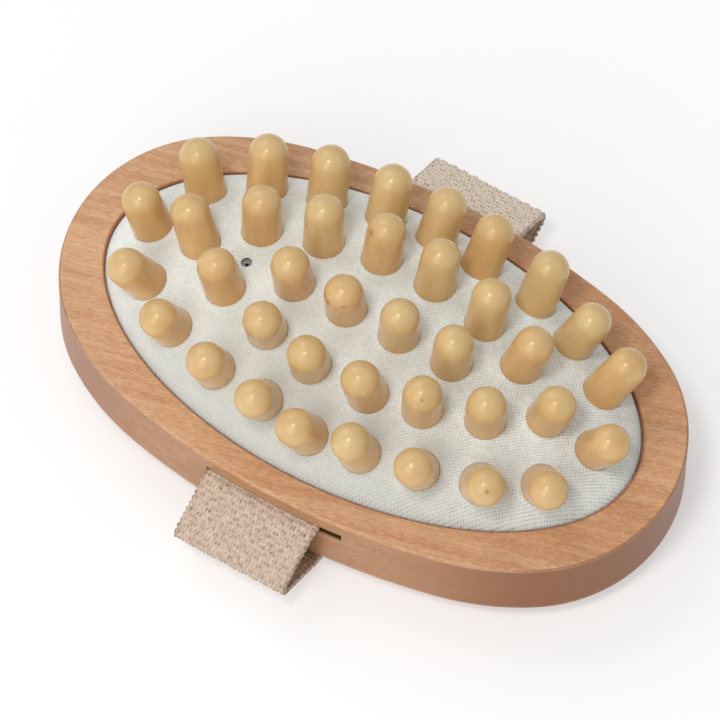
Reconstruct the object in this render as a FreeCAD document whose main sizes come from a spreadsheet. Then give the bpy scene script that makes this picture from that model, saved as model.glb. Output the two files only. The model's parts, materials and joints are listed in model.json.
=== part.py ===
import FreeCAD, Part
import math
import os

import Sketcher
from FreeCAD import Placement, Rotation, Vector

# Hand-held massage brush: an oval wooden back with a domed, cloth-faced rubber air cushion in
# its top, rounded wooden pegs that stand out of the cushion, and a webbing hand strap that
# passes under the back and into a slot in each long side.
#
# Frame: X along the oval, Y across it, Z up through the pegs. The origin is on the surface
# that the brush rests on, which is the underside of the strap, below the middle of the back.
# All sizes are in millimetres.

DIMENSIONS = [
    ("strap_thickness", 2.0, "webbing thickness, which is also the height of the back's underside"),
    ("strap_half_width", 12.5, "webbing, half of its width"),
    ("strap_fold_reach", 51.2, "corner of the strap's side fold, out from the middle"),
    ("strap_fold_height", 8.0, "height of that corner"),
    ("strap_fold_radius", 1.8, "bend of the strap's middle line at the fold"),
    ("strap_slot_bend_reach", 39.2, "corner where the strap turns down outside the slot"),
    ("strap_slot_bend_radius", 3.0, "bend there"),
    ("strap_under_reach", 36.3, "corner where the strap leaves the underside"),
    ("strap_under_radius", 5.0, "bend there"),
    ("strap_end_reach", 23.2, "strap's cut end inside the recess, out from the middle"),
    ("strap_shift", -2.1, "strap's middle along the back"),
    ("strap_skew", -1.0, "turn of the strap about the vertical, in degrees"),
    ("back_half_length", 65.7, "wooden back, half of its length"),
    ("back_half_width", 37.6, "wooden back, half of its width"),
    ("back_thickness", 17.0, "wooden back, underside to rim"),
    ("back_end_radius", 31.4, "outline radius at each end"),
    ("back_shoulder_radius", 54.4, "outline radius between end and side"),
    ("back_side_radius", 150.3, "outline radius along each side"),
    ("rim_edge_radius", 0.6, "rounding of the rim's outer edge"),
    ("base_edge_radius", 3.0, "rounding of the underside's edge"),
    ("recess_edge_radius", 0.4, "rounding of the recess's mouth"),
    ("recess_half_length", 57.4, "oval recess, half of its length"),
    ("recess_half_width", 32.0, "oval recess, half of its width"),
    ("recess_floor", 13.2, "height of the recess floor and of the slots' lower edge"),
    ("groove_bottom", 15.9, "height of the lower side of the cushion groove"),
    ("groove_top", 17.5, "height of its upper side"),
    ("groove_depth", 1.8, "depth of the groove into the recess wall"),
    ("slot_half_length", 15.0, "strap slot, half of its length"),
    ("slot_shift", -0.4, "strap slots' middle along the back"),
    ("slot_height", 2.2, "strap slot, height"),
    ("dome_base", 17.6, "height of the cushion's widest line"),
    ("dome_half_length", 57.2, "cushion cover, half of its length"),
    ("dome_half_width", 31.8, "cushion cover, half of its width"),
    ("dome_rise", 12.0, "cushion cover, widest line to crown"),
    ("cloth_thickness", 0.5, "cushion cover cloth"),
    ("layer_gap", 0.1, "glue line between cloth and rubber"),
    ("rubber_thickness", 0.9, "cushion membrane"),
    ("flange_clearance", 0.2, "cushion flange to the end of its groove"),
    ("flange_play", 0.05, "cushion flange to the groove's upper and lower sides"),
    ("vent_place", -28.2, "air vent, along the middle line"),
    ("vent_cloth_radius", 1.1, "vent hole in the cloth"),
    ("vent_rubber_radius", 0.5, "vent hole in the rubber"),
    ("peg_radius", 4.05, "peg shaft where it leaves the cushion"),
    ("peg_tip_radius", 3.85, "peg's round tip"),
    ("peg_reach", 8.6, "cushion surface to the centre of the round tip"),
    ("peg_straight", 0.8, "straight part of the shaft above the cushion"),
    ("peg_head_radius", 4.5, "retaining head inside the cushion"),
    ("peg_head_depth", 3.0, "cushion surface to the head's upper side"),
    ("peg_head_thickness", 1.2, "retaining head"),
    ("peg_running_gap", 0.05, "peg shaft to its hole in the cushion"),
    ("peg_splay", 1.23, "peg's lean as a multiple of the cushion's slope there"),
    ("staple_span", 8.0, "staple crown, end to end"),
    ("staple_leg", 7.0, "staple leg, crown to point"),
    ("staple_wire_width", 1.0, "staple wire, wide side"),
    ("staple_wire_depth", 0.5, "staple wire, narrow side"),
    ("staple_inset", 3.0, "staple line, in from the strap's cut end"),
    ("staple_pitch", 12.0, "distance between the two staples of one strap end"),
]

# One quarter of the peg pattern: how far each peg stands from the short and the long middle
# line. The other quarters mirror it, and a peg on a middle line is mirrored once.
PEG_QUARTERS = {
    "outer": [(0.0, 24.5), (10.7, 23.5), (22.7, 21.5), (34.2, 17.9), (44.3, 11.9), (49.3, 0.0)],
    "middle": [(5.9, 13.6), (17.5, 11.2), (28.9, 6.9), (38.6, 0.0)],
    "centre": [(5.8, 0.0), (17.4, 0.0)],
}

# Pegs that have settled off the pattern: seat shift along X and Y in millimetres, then lean
# towards X and Y as a slope that is added to the peg's axis.
PEG_SETTLING = {
    "peg_outer_01": (0.0, 0.0, 0.05, -0.15),
    "peg_outer_02": (0.0, 0.0, 0.05, 0.15),
    "peg_outer_03": (0.0, 0.0, 0.10, -0.20),
    "peg_outer_04": (1.0, 0.5, -0.10, 0.0),
    "peg_outer_06": (0.0, 0.0, 0.05, -0.10),
    "peg_outer_07": (0.0, 0.0, 0.0, -0.05),
    "peg_outer_08": (0.0, 0.0, 0.0, -0.05),
    "peg_outer_09": (0.0, 0.0, 0.05, 0.0),
    "peg_outer_10": (0.0, 0.0, 0.0, -0.05),
    "peg_outer_11": (0.0, 0.0, 0.15, -0.05),
    "peg_outer_12": (0.5, 0.5, 0.0, -0.10),
    "peg_outer_13": (0.0, 0.0, 0.15, 0.0),
    "peg_outer_14": (0.5, -0.5, 0.15, 0.10),
    "peg_outer_15": (0.0, 0.0, 0.15, -0.05),
    "peg_outer_16": (0.5, -1.0, -0.10, 0.15),
    "peg_outer_17": (0.5, -0.5, -0.15, 0.20),
    "peg_outer_18": (0.0, 0.0, -0.05, 0.0),
    "peg_outer_19": (0.0, 0.0, 0.15, -0.05),
    "peg_outer_20": (0.0, 0.0, 0.10, -0.20),
    "peg_middle_01": (0.0, 0.0, 0.05, -0.10),
    "peg_middle_02": (0.0, 0.0, 0.10, 0.0),
    "peg_middle_03": (1.0, 0.0, -0.05, 0.0),
    "peg_middle_05": (0.0, 0.0, 0.05, -0.05),
    "peg_middle_07": (-0.5, 1.0, 0.10, -0.05),
    "peg_middle_08": (0.0, 0.0, -0.10, 0.10),
    "peg_middle_10": (0.5, 0.0, 0.15, -0.15),
    "peg_middle_11": (0.0, 0.0, 0.10, -0.10),
    "peg_middle_12": (1.0, 0.0, -0.10, -0.05),
    "peg_middle_14": (0.0, 0.0, -0.05, -0.05),
    "peg_centre_01": (0.0, 0.0, 0.05, -0.10),
    "peg_centre_02": (0.0, 0.0, 0.0, -0.05),
    "peg_centre_03": (0.0, 0.0, 0.05, -0.20),
    "peg_centre_04": (0.0, 0.0, 0.05, -0.15),
}

doc = FreeCAD.newDocument("massage_brush")
sheet = doc.addObject("Spreadsheet::Sheet", "Sizes")


def fill_sheet():
    for row, (alias, value, meaning) in enumerate(DIMENSIONS, start=1):
        sheet.set("A%d" % row, alias)
        sheet.set("B%d" % row, str(value))
        sheet.setAlias("B%d" % row, alias)
        sheet.set("C%d" % row, meaning)
    doc.recompute()


def size(alias):
    return float(sheet.get(alias))


def origin_plane(body, role):
    return [item for item in body.Origin.OriginFeatures if item.Role == role][0]


def new_body(name):
    body = doc.addObject("PartDesign::Body", name)
    body.Label = name
    return body


def new_sketch(body, name, role, height=None):
    sketch = body.newObject("Sketcher::SketchObject", name)
    sketch.AttachmentSupport = [(origin_plane(body, role), "")]
    sketch.MapMode = "FlatFace"
    if height:
        sketch.setExpression("AttachmentOffset.Base.z", height)
    return sketch


def drive(sketch, constraint, expression):
    """Add a dimension to a sketch and bind it to the sheet."""
    index = sketch.addConstraint(constraint)
    sketch.setExpression("Constraints[%d]" % index, expression)


def join_ends(sketch, first, second):
    """Make the nearest ends of two sketch elements coincide."""
    pairs = []
    for end in (1, 2):
        for start in (1, 2):
            gap = sketch.getPoint(first, end).distanceToPoint(sketch.getPoint(second, start))
            pairs.append((gap, end, start))
    _, end, start = min(pairs)
    sketch.addConstraint(Sketcher.Constraint("Coincident", first, end, second, start))


def oval_outline(sketch):
    """Closed oval of eight tangent arcs: two ends, two sides and four shoulders."""
    half_length = size("back_half_length")
    half_width = size("back_half_width")
    end_radius = size("back_end_radius")
    shoulder_radius = size("back_shoulder_radius")
    side_radius = size("back_side_radius")
    end_centre = Vector(half_length - end_radius, 0, 0)
    side_centre = Vector(0, half_width - side_radius, 0)
    # The shoulder's centre is side_radius - shoulder_radius from the side's centre and
    # shoulder_radius - end_radius from the end's centre.
    to_side = side_radius - shoulder_radius
    to_end = shoulder_radius - end_radius
    between = end_centre - side_centre
    span = between.Length
    along = (to_side ** 2 - to_end ** 2 + span ** 2) / (2 * span)
    across = math.sqrt(to_side ** 2 - along ** 2)
    unit = between / span
    shoulder_centre = side_centre + unit * along + Vector(-unit.y, unit.x, 0) * across
    # Two points are that far from both; the shoulder's centre is the one below the long middle
    # line, inside the oval.
    if shoulder_centre.y > end_centre.y:
        shoulder_centre = side_centre + unit * along - Vector(-unit.y, unit.x, 0) * across
    end_turn = math.atan2(end_centre.y - shoulder_centre.y, end_centre.x - shoulder_centre.x)
    side_turn = math.atan2(shoulder_centre.y - side_centre.y, shoulder_centre.x - side_centre.x)

    def arc(centre, radius, start, stop):
        circle = Part.Circle(centre, Vector(0, 0, 1), radius)
        sketch.addGeometry(Part.ArcOfCircle(circle, start, stop), False)

    def flipped(centre, x_sign, y_sign):
        return Vector(centre.x * x_sign, centre.y * y_sign, 0)

    half_turn = math.pi
    arc(end_centre, end_radius, -end_turn, end_turn)
    arc(shoulder_centre, shoulder_radius, end_turn, side_turn)
    arc(side_centre, side_radius, side_turn, half_turn - side_turn)
    arc(flipped(shoulder_centre, -1, 1), shoulder_radius, half_turn - side_turn, half_turn - end_turn)
    arc(flipped(end_centre, -1, 1), end_radius, half_turn - end_turn, half_turn + end_turn)
    arc(flipped(shoulder_centre, -1, -1), shoulder_radius, half_turn + end_turn, half_turn + side_turn)
    arc(flipped(side_centre, 1, -1), side_radius, half_turn + side_turn, 2 * half_turn - side_turn)
    arc(flipped(shoulder_centre, 1, -1), shoulder_radius, -side_turn, -end_turn)
    for index in range(8):
        sketch.addConstraint(Sketcher.Constraint("Tangent", index, 2, (index + 1) % 8, 1))
    for end in (0, 4):
        sketch.addConstraint(Sketcher.Constraint("PointOnObject", end, 3, -1))
    for side in (2, 6):
        sketch.addConstraint(Sketcher.Constraint("PointOnObject", side, 3, -2))
    sketch.addConstraint(Sketcher.Constraint("Equal", 0, 4))
    sketch.addConstraint(Sketcher.Constraint("Equal", 2, 6))
    for shoulder in (3, 5, 7):
        sketch.addConstraint(Sketcher.Constraint("Equal", 1, shoulder))
    drive(sketch, Sketcher.Constraint("Radius", 0, end_radius), "Sizes.back_end_radius")
    drive(sketch, Sketcher.Constraint("Radius", 1, shoulder_radius), "Sizes.back_shoulder_radius")
    drive(sketch, Sketcher.Constraint("Radius", 2, side_radius), "Sizes.back_side_radius")
    end_offset = "Sizes.back_half_length - Sizes.back_end_radius"
    side_offset = "Sizes.back_side_radius - Sizes.back_half_width"
    drive(sketch, Sketcher.Constraint("DistanceX", -1, 1, 0, 3, end_centre.x), end_offset)
    drive(sketch, Sketcher.Constraint("DistanceX", 4, 3, -1, 1, end_centre.x), end_offset)
    drive(sketch, Sketcher.Constraint("DistanceY", 2, 3, -1, 1, -side_centre.y), side_offset)
    drive(sketch, Sketcher.Constraint("DistanceY", -1, 1, 6, 3, -side_centre.y), side_offset)


def ellipse_outline(sketch, half_length, half_width):
    """Ellipse about the sketch's origin; both sizes are expressions over the sheet."""
    start_length = size("recess_half_length")
    start_width = size("recess_half_width")
    sketch.addGeometry(Part.Ellipse(Vector(0, 0, 0), start_length, start_width), False)
    sketch.exposeInternalGeometry(0)
    sketch.addConstraint(Sketcher.Constraint("Coincident", 0, 3, -1, 1))
    sketch.addConstraint(Sketcher.Constraint("Horizontal", 1))
    drive(sketch, Sketcher.Constraint("Distance", 1, 2 * start_length), "2 * (%s)" % half_length)
    drive(sketch, Sketcher.Constraint("Distance", 2, 2 * start_width), "2 * (%s)" % half_width)


def box_outline(sketch, half_length, bottom, height):
    """Rectangle symmetric about the sketch's vertical axis; its sizes are sheet aliases."""
    reach = size(half_length)
    low = size(bottom)
    high = low + size(height)
    corners = [(-reach, low), (reach, low), (reach, high), (-reach, high)]
    for start, stop in zip(corners, corners[1:] + corners[:1]):
        sketch.addGeometry(Part.LineSegment(Vector(*start, 0), Vector(*stop, 0)), False)
    for index in range(4):
        sketch.addConstraint(Sketcher.Constraint("Coincident", index, 2, (index + 1) % 4, 1))
    sketch.addConstraint(Sketcher.Constraint("Horizontal", 2))
    for upright in (1, 3):
        sketch.addConstraint(Sketcher.Constraint("Vertical", upright))
    sketch.addConstraint(Sketcher.Constraint("Symmetric", 0, 1, 0, 2, -2))
    drive(sketch, Sketcher.Constraint("Distance", 0, 2 * reach), "2 * Sizes." + half_length)
    drive(sketch, Sketcher.Constraint("Distance", 1, high - low), "Sizes." + height)
    drive(sketch, Sketcher.Constraint("DistanceY", -1, 1, 0, 1, low), "Sizes." + bottom)


def flat_face_at(shape, height):
    """Name of the horizontal face at the given height."""
    for index, face in enumerate(shape.Faces, start=1):
        box = face.BoundBox
        if abs(box.ZMin - height) < 1e-6 and abs(box.ZMax - height) < 1e-6:
            return "Face%d" % index
    raise RuntimeError("no flat face at height %s" % height)


def edge_at(shape, height, half_length):
    """Names of the edges that lie at the given height and stay within half_length of the middle."""
    names = []
    for index, edge in enumerate(shape.Edges, start=1):
        points = edge.discretize(9)
        level = all(abs(point.z - height) < 1e-5 for point in points)
        if level and max(abs(point.x) for point in points) < half_length + 1e-3:
            names.append("Edge%d" % index)
    return names


def cut_from_sketch(body, name, sketch, through=False, length=None):
    before = body.Tip.Shape.Volume
    pocket = body.newObject("PartDesign::Pocket", name)
    pocket.Profile = sketch
    if through:
        pocket.Type = "ThroughAll"
        pocket.SideType = "Symmetric"
    else:
        pocket.setExpression("Length", length)
    doc.recompute()
    print("%s removes %.1f mm3" % (name, before - pocket.Shape.Volume))
    return pocket


def make_wood_back():
    body = new_body("wood_body")
    outline = new_sketch(body, "back_outline", "XY_Plane", "Sizes.strap_thickness")
    oval_outline(outline)
    block = body.newObject("PartDesign::Pad", "back_block")
    block.Profile = outline
    block.setExpression("Length", "Sizes.back_thickness")
    doc.recompute()
    underside = size("strap_thickness")
    rim = underside + size("back_thickness")

    base_edge = body.newObject("PartDesign::Fillet", "base_edge")
    base_edge.Base = (block, [flat_face_at(block.Shape, underside)])
    base_edge.setExpression("Radius", "Sizes.base_edge_radius")
    doc.recompute()
    rim_edge = body.newObject("PartDesign::Fillet", "rim_edge")
    rim_edge.Base = (base_edge, [flat_face_at(base_edge.Shape, rim)])
    rim_edge.setExpression("Radius", "Sizes.rim_edge_radius")
    doc.recompute()

    rim_level = "Sizes.strap_thickness + Sizes.back_thickness"
    mouth = new_sketch(body, "recess_outline", "XY_Plane", rim_level)
    ellipse_outline(mouth, "Sizes.recess_half_length", "Sizes.recess_half_width")
    doc.recompute()
    recess = cut_from_sketch(body, "recess", mouth, length=rim_level + " - Sizes.recess_floor")

    mouth_edge = body.newObject("PartDesign::Fillet", "recess_edge")
    mouth_edge.Base = (recess, edge_at(recess.Shape, rim, size("recess_half_length")))
    mouth_edge.setExpression("Radius", "Sizes.recess_edge_radius")
    doc.recompute()

    groove_outline = new_sketch(body, "groove_outline", "XY_Plane", "Sizes.groove_top")
    ellipse_outline(groove_outline, "Sizes.recess_half_length + Sizes.groove_depth",
                    "Sizes.recess_half_width + Sizes.groove_depth")
    doc.recompute()
    cut_from_sketch(body, "cushion_groove", groove_outline,
                    length="Sizes.groove_top - Sizes.groove_bottom")

    slots = new_sketch(body, "slot_outline", "XZ_Plane")
    slots.setExpression("AttachmentOffset.Base.x", "Sizes.slot_shift")
    box_outline(slots, "slot_half_length", "recess_floor", "slot_height")
    doc.recompute()
    cut_from_sketch(body, "strap_slots", slots, through=True)
    return body


def dome_height(x, y):
    """Height of the cushion cover's outer surface above the point x, y."""
    inside = 1 - (x / size("dome_half_length")) ** 2 - (y / size("dome_half_width")) ** 2
    return size("dome_base") + size("dome_rise") * math.sqrt(inside)


def peg_axis(x, y, lean_x=0.0, lean_y=0.0):
    """Unit vector along a peg, out of the cushion: the cover's slope there times the splay, plus
    the peg's own lean."""
    fall = (dome_height(x, y) - size("dome_base")) / size("dome_rise") ** 2
    slope_x = x / size("dome_half_length") ** 2 / fall
    slope_y = y / size("dome_half_width") ** 2 / fall
    splay = size("peg_splay")
    return Vector(slope_x * splay + lean_x, slope_y * splay + lean_y, 1).normalize()


def peg_places():
    """Name, seat on the cover and axis of every peg."""
    places = []
    for ring, quarter in PEG_QUARTERS.items():
        spots = []
        for x, y in quarter:
            x_places = {x, -x}
            y_places = {y, -y}
            spots += [(x_place, y_place) for x_place in x_places for y_place in y_places]
        spots.sort(key=lambda spot: math.atan2(spot[1], spot[0]) % (2 * math.pi))
        for number, (x, y) in enumerate(spots, start=1):
            name = "peg_%s_%02d" % (ring, number)
            shift_x, shift_y, lean_x, lean_y = PEG_SETTLING.get(name, (0.0, 0.0, 0.0, 0.0))
            seat_x = x + shift_x
            seat_y = y + shift_y
            seat = Vector(seat_x, seat_y, dome_height(seat_x, seat_y))
            places.append((name, seat, peg_axis(seat_x, seat_y, lean_x, lean_y)))
    return places


def along_axis(seat, axis, offset=0.0):
    """Placement whose Z runs along the axis, its origin offset from the seat."""
    return Placement(seat + axis * offset, Rotation(Vector(0, 0, 1), axis))


def ellipsoid(name, inset):
    item = doc.addObject("Part::Ellipsoid", name)
    item.Angle1 = -90
    item.Angle2 = 90
    item.setExpression("Radius1", "Sizes.dome_rise - (%s)" % inset)
    item.setExpression("Radius2", "Sizes.dome_half_length - (%s)" % inset)
    item.setExpression("Radius3", "Sizes.dome_half_width - (%s)" % inset)
    item.setExpression("Placement.Base.z", "Sizes.dome_base")
    return item


def oval_disc(name, half_length, half_width, bottom, thickness):
    edge = doc.addObject("Part::Ellipse", name + "_edge")
    edge.setExpression("MajorRadius", half_length)
    edge.setExpression("MinorRadius", half_width)
    edge.setExpression("Placement.Base.z", bottom)
    disc = doc.addObject("Part::Extrusion", name)
    disc.Base = edge
    disc.DirMode = "Custom"
    disc.Dir = Vector(0, 0, 1)
    disc.Solid = True
    disc.setExpression("LengthFwd", thickness)
    return disc


def cushion_layer(name, inset, thickness, flange_bottom, cutters):
    """Domed layer with a flat flange: outer dome and flange, less the inner dome and the holes."""
    outer = ellipsoid(name + "_outer", inset)
    inner = ellipsoid(name + "_inner", "%s + %s" % (inset, thickness))
    above = oval_disc(name + "_above", "Sizes.back_half_length", "Sizes.back_half_width",
                      flange_bottom, "2 * Sizes.dome_rise")
    cap = doc.addObject("Part::Common", name + "_cap")
    cap.Base = outer
    cap.Tool = above
    reach = "Sizes.groove_depth - Sizes.flange_clearance"
    flange = oval_disc(name + "_flange", "Sizes.recess_half_length + " + reach,
                       "Sizes.recess_half_width + " + reach, flange_bottom, thickness)
    solid = doc.addObject("Part::Fuse", name + "_solid")
    solid.Base = cap
    solid.Tool = flange
    shell = doc.addObject("Part::Cut", name + "_shell")
    shell.Base = solid
    shell.Tool = inner
    layer = doc.addObject("Part::Cut", name)
    layer.Label = name
    layer.Base = shell
    layer.Tool = cutters
    return layer


def hole_cutters(name, vent_radius):
    """Cylinders along every peg's axis, and one for the vent."""
    reach = size("peg_head_depth") + size("peg_straight")
    tools = []
    for peg_name, seat, axis in peg_places():
        tool = doc.addObject("Part::Cylinder", "%s_%s" % (name, peg_name))
        tool.setExpression("Radius", "Sizes.peg_radius + Sizes.peg_running_gap")
        tool.Height = 2 * reach
        tool.Placement = along_axis(seat, axis, -reach)
        tools.append(tool)
    vent_seat = Vector(size("vent_place"), 0, dome_height(size("vent_place"), 0))
    vent = doc.addObject("Part::Cylinder", name + "_vent")
    vent.setExpression("Radius", vent_radius)
    vent.Height = 2 * reach
    vent.Placement = along_axis(vent_seat, peg_axis(vent_seat.x, vent_seat.y), -reach)
    tools.append(vent)
    cutters = doc.addObject("Part::Compound", name)
    cutters.Links = tools
    return cutters


def make_cushion():
    cloth_holes = hole_cutters("cloth_holes", "Sizes.vent_cloth_radius")
    rubber_holes = hole_cutters("rubber_holes", "Sizes.vent_rubber_radius")
    cloth = cushion_layer("cushion_cloth", "0", "Sizes.cloth_thickness",
                          "Sizes.groove_top - Sizes.flange_play - Sizes.cloth_thickness", cloth_holes)
    rubber = cushion_layer("cushion_rubber", "Sizes.cloth_thickness + Sizes.layer_gap",
                           "Sizes.rubber_thickness", "Sizes.groove_bottom + Sizes.flange_play",
                           rubber_holes)
    return [cloth, rubber]


def peg_profile(sketch):
    """Half section of a peg about the sketch's vertical axis, with its cushion seat at height 0."""
    head_top = -size("peg_head_depth")
    head_bottom = head_top - size("peg_head_thickness")
    head = size("peg_head_radius")
    shaft = size("peg_radius")
    tip = size("peg_tip_radius")
    straight = size("peg_straight")
    reach = size("peg_reach")
    corners = [(0, head_bottom), (head, head_bottom), (head, head_top), (shaft, head_top),
               (shaft, straight), (tip, reach)]
    for start, stop in zip(corners, corners[1:]):
        sketch.addGeometry(Part.LineSegment(Vector(*start, 0), Vector(*stop, 0)), False)
    circle = Part.Circle(Vector(0, reach, 0), Vector(0, 0, 1), tip)
    sketch.addGeometry(Part.ArcOfCircle(circle, 0, math.pi / 2), False)
    sketch.addGeometry(Part.LineSegment(Vector(0, reach + tip, 0), Vector(0, head_bottom, 0)), False)
    round_tip = 5
    middle_line = 6
    for index in range(7):
        sketch.addConstraint(Sketcher.Constraint("Coincident", index, 2, (index + 1) % 7, 1))
    for level in (0, 2):
        sketch.addConstraint(Sketcher.Constraint("Horizontal", level))
    for upright in (1, 3, middle_line):
        sketch.addConstraint(Sketcher.Constraint("Vertical", upright))
    sketch.addConstraint(Sketcher.Constraint("PointOnObject", round_tip, 3, -2))
    sketch.addConstraint(Sketcher.Constraint("PointOnObject", 0, 1, -2))
    sketch.addConstraint(Sketcher.Constraint("Horizontal", round_tip, 3, round_tip, 1))
    drive(sketch, Sketcher.Constraint("Distance", 0, head), "Sizes.peg_head_radius")
    drive(sketch, Sketcher.Constraint("Distance", 1, head_top - head_bottom), "Sizes.peg_head_thickness")
    drive(sketch, Sketcher.Constraint("DistanceX", -1, 1, 3, 1, shaft), "Sizes.peg_radius")
    drive(sketch, Sketcher.Constraint("DistanceY", 3, 1, -1, 1, -head_top), "Sizes.peg_head_depth")
    drive(sketch, Sketcher.Constraint("DistanceY", -1, 1, 3, 2, straight), "Sizes.peg_straight")
    drive(sketch, Sketcher.Constraint("DistanceY", -1, 1, round_tip, 3, reach), "Sizes.peg_reach")
    drive(sketch, Sketcher.Constraint("Radius", round_tip, tip), "Sizes.peg_tip_radius")


def make_peg(name, seat, axis):
    body = new_body(name)
    sketch = new_sketch(body, name + "_profile", "XZ_Plane")
    peg_profile(sketch)
    turned = body.newObject("PartDesign::Revolution", name + "_turned")
    turned.Profile = sketch
    turned.ReferenceAxis = (sketch, ["V_Axis"])
    turned.Angle = 360
    body.Placement = along_axis(seat, axis)
    return body


def rounded_route(corners, radii):
    """Lines and arcs through the corners, each inner corner rounded to its radius."""
    pieces = []
    start = corners[0]
    for before, corner, after, radius in zip(corners, corners[1:], corners[2:], radii):
        inward = (before - corner).normalize()
        outward = (after - corner).normalize()
        half_angle = inward.getAngle(outward) / 2
        trim = radius / math.tan(half_angle)
        arc_start = corner + inward * trim
        arc_stop = corner + outward * trim
        bisector = (inward + outward).normalize()
        crown = corner + bisector * (radius / math.sin(half_angle) - radius)
        pieces.append(Part.LineSegment(start, arc_start))
        pieces.append(Part.Arc(arc_start, crown, arc_stop))
        start = arc_stop
    pieces.append(Part.LineSegment(start, corners[-1]))
    return pieces


def strap_corners():
    """Corners of the strap's middle line in its own plane: (across the back, height)."""
    half = size("strap_thickness") / 2
    slot_level = size("recess_floor") + half
    side = [(size("strap_end_reach"), slot_level), (size("strap_slot_bend_reach"), slot_level),
            (size("strap_fold_reach"), size("strap_fold_height")), (size("strap_under_reach"), half)]
    corners = [Vector(y, z, 0) for y, z in side]
    return corners + [Vector(-corner.x, corner.y, 0) for corner in reversed(corners)]


def strap_radii():
    side = [size("strap_slot_bend_radius"), size("strap_fold_radius"), size("strap_under_radius")]
    return side + side[::-1]


def make_strap():
    body = new_body("hand_strap")
    route = new_sketch(body, "strap_route", "YZ_Plane")
    pieces = rounded_route(strap_corners(), strap_radii())
    for piece in pieces:
        route.addGeometry(piece, False)
    for index in range(len(pieces) - 1):
        join_ends(route, index, index + 1)
    section = new_sketch(body, "strap_section", "XZ_Plane", "-Sizes.strap_end_reach")
    box_outline(section, "strap_half_width", "recess_floor", "strap_thickness")
    doc.recompute()
    webbing = body.newObject("PartDesign::AdditivePipe", "strap_webbing")
    webbing.Profile = section
    webbing.Spine = route
    body.setExpression("Placement.Base.x", "Sizes.strap_shift")
    body.Placement.Rotation = Rotation(Vector(0, 0, 1), size("strap_skew"))
    return body


def staple(name, x, y, turn):
    """One flat-wire staple: a crown across the strap and two legs into the wood."""
    span = "Sizes.staple_span"
    wide = "Sizes.staple_wire_width"
    deep = "Sizes.staple_wire_depth"
    crown_level = "Sizes.recess_floor + Sizes.strap_thickness"
    parts = []
    crown = doc.addObject("Part::Box", name + "_crown")
    crown.setExpression("Length", span)
    crown.setExpression("Width", wide)
    crown.setExpression("Height", deep)
    crown_offset = Vector(-size("staple_span") / 2, -size("staple_wire_width") / 2, 0)
    parts.append((crown, crown_offset))
    for side, start in (("left", -size("staple_span") / 2),
                        ("right", size("staple_span") / 2 - size("staple_wire_depth"))):
        leg = doc.addObject("Part::Box", "%s_%s_leg" % (name, side))
        leg.setExpression("Length", deep)
        leg.setExpression("Width", wide)
        leg.setExpression("Height", "Sizes.staple_leg")
        parts.append((leg, Vector(start, -size("staple_wire_width") / 2, -size("staple_leg"))))
    level = size("recess_floor") + size("strap_thickness")
    seat = Placement(Vector(x, y, level), Rotation(Vector(0, 0, 1), turn))
    for item, offset in parts:
        item.Placement = seat.multiply(Placement(offset, Rotation()))
        drop = "" if item is crown else " - Sizes.staple_leg"
        item.setExpression("Placement.Base.z", crown_level + drop)
    joined = doc.addObject("Part::MultiFuse", name)
    joined.Shapes = [item for item, offset in parts]
    joined.Refine = True
    return joined


def make_staples():
    skew = size("strap_skew")
    turn = Placement(Vector(size("strap_shift"), 0, 0), Rotation(Vector(0, 0, 1), skew))
    staples = []
    for side_name, side in (("far", 1), ("near", -1)):
        for hand_name, hand in (("left", -1), ("right", 1)):
            spot = turn.multVec(Vector(hand * size("staple_pitch") / 2,
                                       side * (size("strap_end_reach") + size("staple_inset")), 0))
            staples.append(staple("staple_%s_%s" % (side_name, hand_name), spot.x, spot.y, skew))
    group = doc.addObject("Part::Compound", "strap_staples")
    group.Label = "strap_staples"
    group.Links = staples
    return group


def check_document():
    for item in doc.Objects:
        if "Invalid" in item.State or "Error" in item.State:
            raise RuntimeError("%s failed: %s" % (item.Name, item.State))


def write_parts(nodes):
    os.makedirs("parts", exist_ok=True)
    for node in nodes:
        shape = node.Shape
        if shape.isNull() or not shape.isValid() or not shape.Solids:
            raise RuntimeError("%s has no valid solid" % node.Label)
    for node in nodes:
        node.Shape.exportStep("parts/%s.step" % node.Label)
        print("%s: %d solid(s), %.1f mm3" % (node.Label, len(node.Shape.Solids), node.Shape.Volume))


def main():
    fill_sheet()
    nodes = [make_wood_back()]
    nodes += make_cushion()
    nodes += [make_peg(*place) for place in peg_places()]
    nodes.append(make_strap())
    nodes.append(make_staples())
    doc.recompute()
    check_document()
    write_parts(nodes)


main()
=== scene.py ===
import json
import math

import bmesh
import bpy
import numpy as np
from mathutils import Matrix, Vector


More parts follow.
